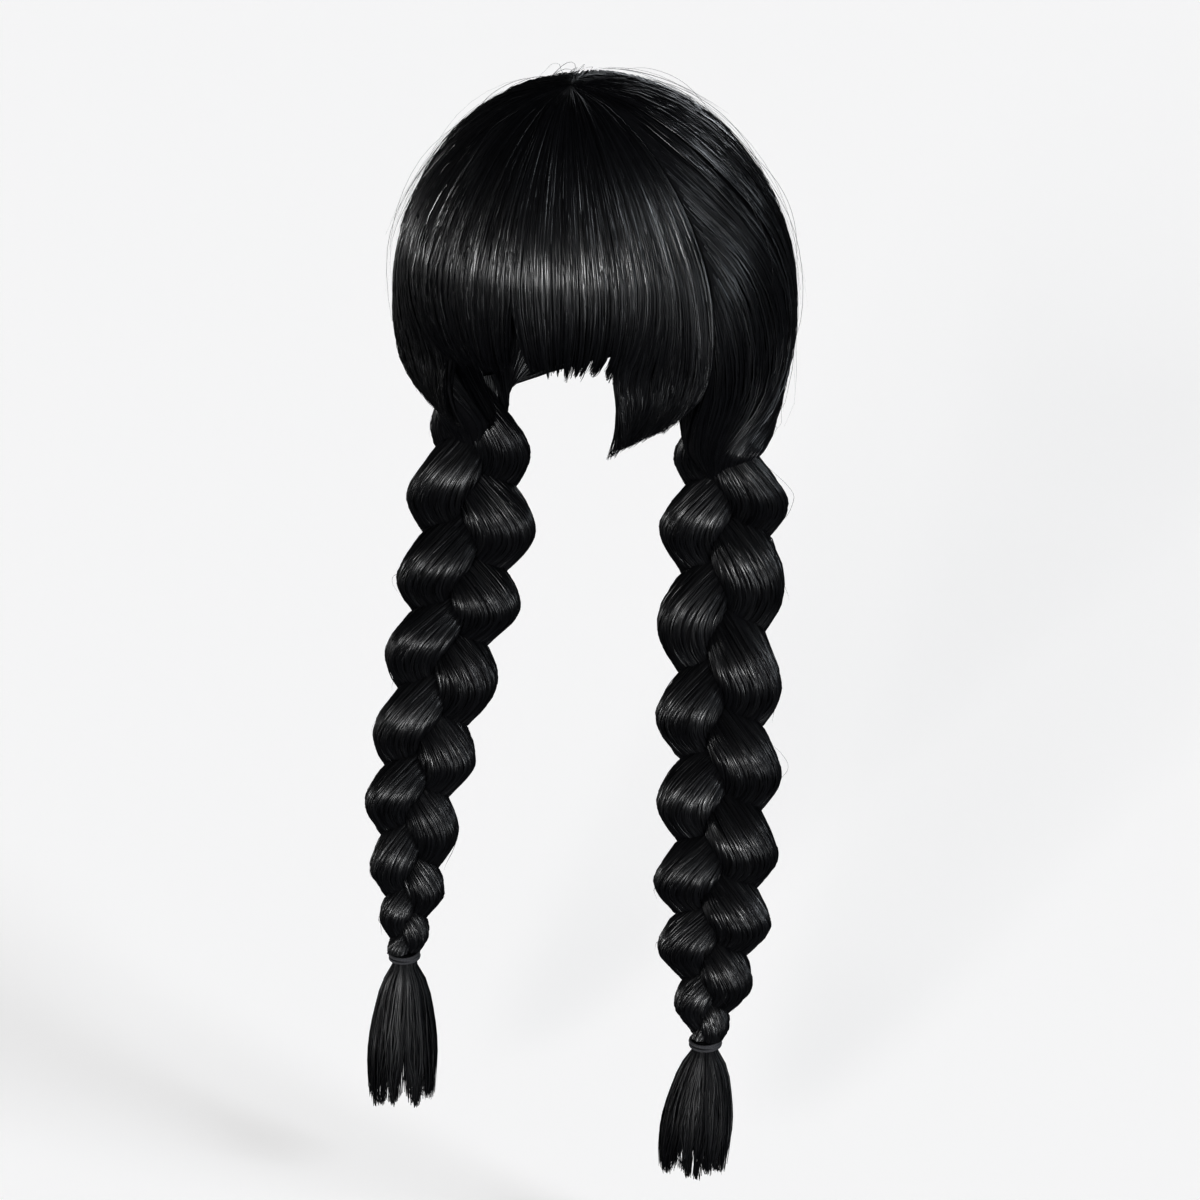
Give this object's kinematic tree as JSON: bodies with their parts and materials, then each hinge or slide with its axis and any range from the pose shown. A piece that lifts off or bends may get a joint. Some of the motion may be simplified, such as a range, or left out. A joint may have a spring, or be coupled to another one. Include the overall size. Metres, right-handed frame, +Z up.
{
  "type": "long braided wig",
  "caption": "Long black wig on a net cap: straight parted fringe, tapered face-framing side locks, and hair swept back to long plaits tied with thin elastics and ending in loose tassels.",
  "frame": {"origin": "top of the cap's inside, where the crown of the wearer's head carries the wig", "axes": "+Z up along the head, -Y the way the face looks, +X the wearer's left"},
  "size_m": [0.2768, 0.2383, 0.6635],
  "materials": {
    "net": "black stretch net",
    "hair": "black synthetic hair with a satin sheen",
    "elastic": "matt thread-covered elastic"
  },
  "bodies": {
    "root": {"cap": "net", "fringe": "hair", "side_lock_left": "hair", "crown_left": "hair", "braid_left_strand_1": "hair", "braid_left_strand_2": "hair", "braid_left_strand_3": "hair", "tie_left": "elastic", "tassel_left": "hair", "side_lock_right": "hair", "crown_right": "hair", "braid_right_strand_1": "hair", "braid_right_strand_2": "hair", "braid_right_strand_3": "hair", "tie_right": "elastic", "tassel_right": "hair"}
  },
  "joints": []
}
